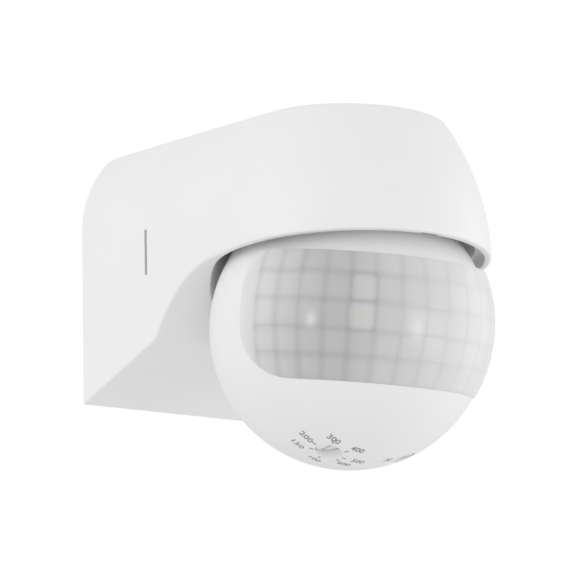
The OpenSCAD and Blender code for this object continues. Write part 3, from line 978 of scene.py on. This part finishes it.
def lens_rows(inset):
    """Heights of the rows of points, close together at the rounded corners and the grooves."""
    top, low = LENS_TOP - inset, LENS_LOW + inset
    low_r, top_r = LENS_LOW_R - inset, LENS_TOP_R - inset
    places = {round(low + low_r * (1 - math.cos(math.radians(6 * k))), 3) for k in range(16)}
    places |= {round(top - top_r * (1 - math.cos(math.radians(15 * k))), 3) for k in range(7)}
    for edge in SEGMENT_ROWS:
        places |= {round(edge + d, 3) for d in (-GROOVE_HALF, 0, GROOVE_HALF)}
    for a, b in zip(SEGMENT_ROWS, SEGMENT_ROWS[1:]):
        places |= {round(a + (b - a) * k / 9, 3) for k in range(1, 9)}
    kept = []
    for z in sorted(places):
        if low <= z <= top and (not kept or z - kept[-1] > 0.02):
            kept.append(z)
    kept[0], kept[-1] = low, top
    return kept


def lens_columns():
    """Longitudes of the columns of points, in degrees."""
    half = math.degrees(GROOVE_HALF / LENS_R)
    edges = [segment_edge(k) for k in range(-SEGMENT_ENDS, SEGMENT_ENDS + 1)]
    places = {round(edge + d, 3) for edge in edges for d in (-half, 0, half)}
    places |= {round(a + (b - a) * k / 8, 3) for a, b in zip(edges, edges[1:]) for k in range(1, 8)}
    places |= {round(end + side * 1.5 * k, 3) for end, side in ((edges[0], -1), (edges[-1], 1))
               for k in range(1, 11)}
    return sorted(places)


def line_distance(longitude, z):
    """Distances from the nearest upright joint and the nearest level joint, in mm."""
    level = math.sqrt(LENS_R ** 2 - (z - LENS_UP) ** 2)
    across = math.radians(abs(longitude - nearest_edge(longitude))) * level
    if not segment_edge(-SEGMENT_ENDS) - 1.5 < longitude < segment_edge(SEGMENT_ENDS) + 1.5:
        return across, 9.0
    return across, min(abs(z - edge) for edge in SEGMENT_ROWS)


def groove(longitude, z):
    """Depth of the joints between the lens's segments, each of which swells a little."""
    near_line = min(line_distance(longitude, z))
    pillow = 0.05 * (1 - min(near_line / 1.6, 1.0)) ** 2
    return pillow + GROOVE_DEEP * max(0.0, 1 - near_line / GROOVE_HALF)


def soft_spot(longitude, z, centre, size):
    """1 at the centre of a round spot on the lens, fading to 0 outside it."""
    level = math.sqrt(LENS_R ** 2 - (z - LENS_UP) ** 2)
    across = math.radians(longitude - centre[0]) * level / size[0]
    return math.exp(-across ** 2 - ((z - centre[1]) / size[1]) ** 2)


def soft_patch(longitude, z, low, high):
    """1 inside a rounded rectangle on the lens, fading to 0 at its edge."""
    level = math.sqrt(LENS_R ** 2 - (z - LENS_UP) ** 2)
    x = math.radians(longitude - (low[0] + high[0]) / 2) * level
    half_x = math.radians(high[0] - low[0]) * level / 2
    y, half_y = z - (low[1] + high[1]) / 2, (high[1] - low[1]) / 2
    corner = 1.0
    out_x, out_y = max(abs(x) - half_x + corner, 0), max(abs(y) - half_y + corner, 0)
    edge = math.hypot(out_x, out_y) - corner
    return max(0.0, min(1.0, 0.5 - edge / 0.5))


def segment_tone_and_painted_light(longitude, z):
    """Colour of the lens at a place: milky grey, deepest a third of the way to the left, paler toward the sides as
    a painted reflection, darker along the joints, with painted glints and painted bright cells."""
    # Painted reflection: the grey rises toward both sides, standing in for the sheen of the bright surround at a
    # grazing angle.
    away = longitude + 36.0
    if away < 0:
        grey = 0.53 + 0.24 * (away / 42.0) ** 2
    else:
        grey = 0.53 + 0.35 * (1 - math.exp(-away / 49.0))
    column, row = math.floor((longitude + 3.0) / 10.6), sum(1 for edge in SEGMENT_ROWS if z < edge)
    grey += 0.008 * math.sin(3.1 * column + 1.7 * row) + 0.006 * math.sin(7.3 * column - 2.9 * row)
    across, up = line_distance(longitude, z)
    line = 0.03 + 0.085 / (1 + math.exp((longitude + 8.0) / 12.0))
    grey *= (1 - line * math.exp(-(across / 0.75) ** 2)) * (1 - line * math.exp(-(up / 0.75) ** 2))
    # Painted glints: two small bright spots stand in for reflections of the lamps in the lens's rings.
    grey += 0.22 * soft_spot(longitude, z, (-48.5, -0.9), (0.9, 1.5))
    grey += 0.10 * soft_spot(longitude, z, (-6.5, -1.2), (1.2, 2.2))
    # Painted hot spots: two bright cells and a warm one stand in for light seen through and glancing off those
    # segments, with a darker band painted just round the bright cells.
    clear, hot_cell_surround = 0.0, 0.0
    for low, high in (((-33.3, 3.9), (-24.1, 9.0)), ((-33.9, -2.3), (-24.5, 3.0))):
        clear = max(clear, soft_patch(longitude, z, low, high))
        around = soft_patch(longitude, z, (low[0] - 1.2, low[1] - 0.7), (high[0] + 1.2, high[1] + 0.7))
        hot_cell_surround = max(hot_cell_surround, around)
    warm = soft_patch(longitude, z, (-52.4, -12.2), (-45.4, -8.6))
    grey += 0.035 * clear + 0.02 * warm - 0.035 * (hot_cell_surround - clear)
    tint = 0.008 * (1 - clear - warm) - 0.007 * (clear + warm)
    return (grey, grey, grey * (1 + 1.6 * tint))


def lens_point(longitude, z, outside, at_edge):
    """A point of the lens's outer or inner surface. At its low edge the outer one is eased toward
    the ball, and at its edges the inner one is deeper."""
    reach = LENS_R if outside else LENS_R - (EDGE_DEEP if at_edge else LENS_T)
    level = math.sqrt(reach ** 2 - (z - LENS_UP) ** 2)
    if outside:
        level -= groove(longitude, z) + LOW_STEP * max(0.0, 1 - (z - LENS_LOW) / LOW_STEP_HIGH) ** 2
    a = math.radians(longitude)
    return HEAD @ Vector((level * math.sin(a), -level * math.cos(a), z))


def border(sheet):
    """The points round the edge of a sheet of rows, in order."""
    right, left = [row[-1] for row in sheet[1:]], [row[0] for row in sheet[-2:0:-1]]
    return sheet[0] + right + sheet[-1][-2::-1] + left


def build_lens(material):
    """The segmented lens: an outer and an inner sheet joined round their edge."""
    rows, columns = lens_rows(FIT_GAP), lens_columns()
    points, faces, outer, inner = [], [], [], []
    for z in rows:
        edge = lens_edge_longitude(z, FIT_GAP)
        for sheet, outside in ((outer, True), (inner, False)):
            sheet.append(list(range(len(points), len(points) + len(columns))))
            for column in columns:
                at_edge = abs(column) >= edge or z in (rows[0], rows[-1])
                points.append(lens_point(max(-edge, min(edge, column)), z, outside, at_edge))
    for sheet in (outer, inner):
        for a, b in zip(sheet, sheet[1:]):
            faces += [(a[k], a[k + 1], b[k + 1], b[k]) for k in range(len(columns) - 1)]
    rim, deep_rim = border(outer), border(inner)
    count = len(rim)
    faces += [(rim[k], rim[(k + 1) % count], deep_rim[(k + 1) % count], deep_rim[k]) for k in range(count)]
    lens = solid(points, faces, "lens")
    finish(lens, "lens", "head", material, ["fresnel_lens"])
    # The stored colour carries the lens's tone with its painted reflection, painted glints and painted bright
    # cells.
    paint = lens.data.color_attributes.new("segment_tone_and_painted_light", "FLOAT_COLOR", "POINT")
    to_head = HEAD.inverted()
    for vertex, place in zip(lens.data.vertices, paint.data):
        p = to_head @ (vertex.co / MM)
        z = max(LENS_LOW, min(LENS_TOP, p.z))
        place.color = (*segment_tone_and_painted_light(math.degrees(math.atan2(p.x, -p.y)), z), 1)


# ---------------------------------------------------------------- setting knobs and their scales

def build_knob(name, side, material):
    """A setting knob: a slotted head and the stem that enters the trimmer."""
    ease, stem_r = 0.18, 1.2
    face, deep, stem_end = KNOB_SINK, KNOB_SINK + 2.2, KNOB_SINK + 7.0
    profile = [(0, face), (KNOB_R - ease, face), (KNOB_R - ease * 0.3, face + ease * 0.3),
               (KNOB_R, face + ease), (KNOB_R, deep), (stem_r, deep), (stem_r, stem_end), (0, stem_end)]
    knob = lathe(profile, knob_frame(side), 64)
    cut(knob, [block((-0.45, -KNOB_R - 1, face - 1), (0.45, KNOB_R + 1, face + 0.8), knob_frame(side))])
    finish(knob, name + "_piece", name, material, [name])


def on_head(x, forward, lift=0.0):
    """A point on the underside of the ball, lifted off it."""
    place = Vector((x, -forward, -math.sqrt(BALL_R ** 2 - x * x - forward * forward)))
    return HEAD @ (place * (1 + lift / BALL_R))


def print_solid(builder, shape, x, forward):
    """Adds a flat shape, as lists of (across, ahead) corners, to a print on the ball: a thin
    closed layer that stands 0.02 mm proud."""
    corners, faces = shape
    low = [builder.verts.new(on_head(x + a, forward + b, -0.04)) for a, b in corners]
    high = [builder.verts.new(on_head(x + a, forward + b, 0.02)) for a, b in corners]
    edges = {}
    for face in faces:
        builder.faces.new([high[i] for i in face])
        builder.faces.new([low[i] for i in reversed(face)])
        for a, b in zip(face, face[1:] + face[:1]):
            edges[(a, b)] = True
    for a, b in edges:
        if (b, a) not in edges:
            builder.faces.new([high[b], high[a], low[a], low[b]])


def glyph_shape(text, size):
    """The flat outline of a number as corners and faces, centred."""
    data = bpy.data.curves.new("glyphs", "FONT")
    data.body = text
    data.size = size
    data.offset = 0.035
    data.align_x = "CENTER"
    data.align_y = "CENTER"
    data.resolution_u = 3
    holder = bpy.data.objects.new("glyphs", data)
    bpy.context.scene.collection.objects.link(holder)
    mesh = bpy.data.meshes.new_from_object(holder.evaluated_get(bpy.context.evaluated_depsgraph_get()))
    builder = bmesh.new()
    builder.from_mesh(mesh)
    bmesh.ops.remove_doubles(builder, verts=builder.verts, dist=0.001)
    builder.verts.index_update()
    corners = [(v.co.x, v.co.y) for v in builder.verts]
    faces = [[v.index for v in (f.verts if f.normal.z > 0 else reversed(f.verts))] for f in builder.faces]
    builder.free()
    bpy.data.objects.remove(holder)
    bpy.data.curves.remove(data)
    bpy.data.meshes.remove(mesh)
    return corners, faces


def bar_shape(length, width, angle):
    """A short bar along an angle."""
    along, aside = Vector((math.cos(angle), math.sin(angle))), Vector((-math.sin(angle), math.cos(angle)))
    signs = ((-1, -1), (1, -1), (1, 1), (-1, 1))
    corners = [along * length / 2 * a + aside * width / 2 * b for a, b in signs]
    return [tuple(c) for c in corners], [[0, 1, 2, 3]]


def finish_print(builder, name, material):
    """Turns a print into a piece that rides with the head."""
    mesh = bpy.data.meshes.new(name)
    builder.to_mesh(mesh)
    builder.free()
    finish(link(name, mesh), name, "head", material, [], flat_first=False)


# Prints on the head: sizes of numbers, ticks and the sun, each bar as (length, width)
GLYPH_SIZE = 2.05
TICK = (0.95, 0.32)
TICK_R = 3.75
SUN = (4.5, 11.2)
SUN_R = 0.45
RAY = (0.4, 0.2)
RAY_R = 0.85
# Numbers round the time knob with the place of each, as (across, ahead) of the knob's centre
TIME_SCALE = (("100", 0.1, -5.8), ("150", -5.4, -4.1), ("200", -5.8, -0.2), ("300", -1.7, 4.1),
              ("400", 4.2, 4.4), ("500", 7.2, 0.2), ("600", 5.6, -2.6))


def build_time_scale(material):
    """Numbers round the time knob, each with a tick beside the knob."""
    builder = bmesh.new()
    for number, across, ahead in TIME_SCALE:
        print_solid(builder, glyph_shape(number, GLYPH_SIZE), -KNOB_X + across, KNOB_FWD + ahead)
        angle = math.atan2(ahead, across)
        print_solid(builder, bar_shape(*TICK, angle), -KNOB_X + TICK_R * math.cos(angle),
                    KNOB_FWD + TICK_R * math.sin(angle))
    finish_print(builder, "time_scale", material)


def build_lux_scale(material):
    """A small sun beside the light setting's knob."""
    builder = bmesh.new()
    disc = [(SUN_R * math.cos(a), SUN_R * math.sin(a)) for a in (math.pi / 6 * k for k in range(12))]
    print_solid(builder, (disc, [list(range(12))]), *SUN)
    for k in range(8):
        angle = math.pi / 4 * k
        print_solid(builder, bar_shape(*RAY, angle), SUN[0] + RAY_R * math.cos(angle),
                    SUN[1] + RAY_R * math.sin(angle))
    finish_print(builder, "lux_scale", material)


def build():
    """Everything in the picture, and a material on each CAD node."""
    materials = build_materials()
    build_camera()
    build_stage()
    white, head_white = materials["housing_white"], materials["head_white"]
    build_hood(white)
    build_wall_base(white)
    build_front_shell(head_white)
    build_rear_shell(head_white)
    build_lens(materials["lens"])
    build_knob("time_knob", -1, head_white)
    build_knob("lux_knob", 1, head_white)
    build_time_scale(materials["print"])
    build_lux_scale(materials["print"])
    slots = {row["node"]: row["material_slot"] for row in frame["record"]["subparts"]}
    for name, node in frame["nodes"].items():
        node.data.materials.clear()
        node.data.materials.append(materials[slots[name]])


build()
